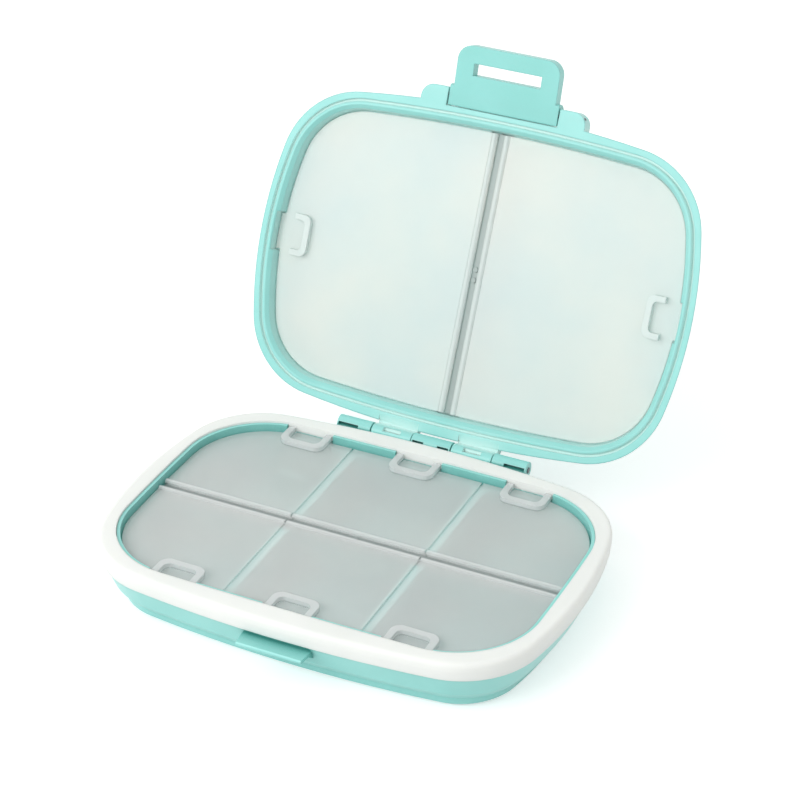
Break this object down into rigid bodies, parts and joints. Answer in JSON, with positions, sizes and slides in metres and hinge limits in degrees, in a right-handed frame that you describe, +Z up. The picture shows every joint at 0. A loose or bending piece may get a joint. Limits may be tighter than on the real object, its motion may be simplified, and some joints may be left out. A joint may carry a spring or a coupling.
{
  "type": "weekly pill box",
  "caption": "Shallow rounded pill case with a hinged compartment lid, a window latch, a soft rim seal and clear flaps over the wells.",
  "frame": {"origin": "middle of the base's flat foot", "axes": "+X along the case to the right, +Y from the latch side to the hinge, +Z up; the lid stands open"},
  "size_m": [0.122, 0.1406, 0.1086],
  "materials": {
    "mint_plastic": "satin",
    "white_silicone": "matte",
    "clear_plastic": "gloss",
    "steel_pin": "satin"
  },
  "bodies": {
    "base": {"base_shell": "mint_plastic", "seal_ring": "white_silicone", "base_flap_strip": "clear_plastic", "hinge_pin": "steel_pin"},
    "lid": {"lid_shell": "mint_plastic", "lid_flap_strip": "clear_plastic", "latch_pin": "steel_pin"},
    "latch_body": {"latch": "mint_plastic"},
    "body_flap_back_left": {"flap_back_left": "clear_plastic"},
    "body_flap_back_middle": {"flap_back_middle": "clear_plastic"},
    "body_flap_back_right": {"flap_back_right": "clear_plastic"},
    "body_flap_front_left": {"flap_front_left": "clear_plastic"},
    "body_flap_front_middle": {"flap_front_middle": "clear_plastic"},
    "body_flap_front_right": {"flap_front_right": "clear_plastic"},
    "body_lid_flap_left": {"lid_flap_left": "clear_plastic"},
    "body_lid_flap_right": {"lid_flap_right": "clear_plastic"}
  },
  "joints": [
    {"name": "lid_hinge", "type": "hinge", "parent": "base", "child": "lid", "pos_m": [0, 0.0454, 0.01555], "axis": [-1, 0, 0], "range_deg": [-115.7, 0]},
    {"name": "latch_hinge", "type": "hinge", "parent": "lid", "child": "latch_body", "pos_m": [0, 0.08736, 0.09535], "axis": [-1, 0, 0], "range_deg": [-82, 30]},
    {"name": "flap_back_left_hinge", "type": "hinge", "parent": "base", "child": "body_flap_back_left", "pos_m": [0, 0.00175, 0.01455], "axis": [1, 0, 0], "range_deg": [0, 85]},
    {"name": "flap_back_middle_hinge", "type": "hinge", "parent": "base", "child": "body_flap_back_middle", "pos_m": [0, 0.00175, 0.01455], "axis": [1, 0, 0], "range_deg": [0, 85]},
    {"name": "flap_back_right_hinge", "type": "hinge", "parent": "base", "child": "body_flap_back_right", "pos_m": [0, 0.00175, 0.01455], "axis": [1, 0, 0], "range_deg": [0, 85]},
    {"name": "flap_front_left_hinge", "type": "hinge", "parent": "base", "child": "body_flap_front_left", "pos_m": [0, -0.00175, 0.01455], "axis": [-1, 0, 0], "range_deg": [0, 85]},
    {"name": "flap_front_middle_hinge", "type": "hinge", "parent": "base", "child": "body_flap_front_middle", "pos_m": [0, -0.00175, 0.01455], "axis": [-1, 0, 0], "range_deg": [0, 85]},
    {"name": "flap_front_right_hinge", "type": "hinge", "parent": "base", "child": "body_flap_front_right", "pos_m": [0, -0.00175, 0.01455], "axis": [-1, 0, 0], "range_deg": [0, 85]},
    {"name": "lid_flap_left_hinge", "type": "hinge", "parent": "lid", "child": "body_lid_flap_left", "pos_m": [-0.00175, 0.07004, 0.05407], "axis": [0, 0.4337, 0.9011], "range_deg": [0, 85]},
    {"name": "lid_flap_right_hinge", "type": "hinge", "parent": "lid", "child": "body_lid_flap_right", "pos_m": [0.00175, 0.07004, 0.05407], "axis": [0, -0.4337, -0.9011], "range_deg": [0, 85]}
  ]
}
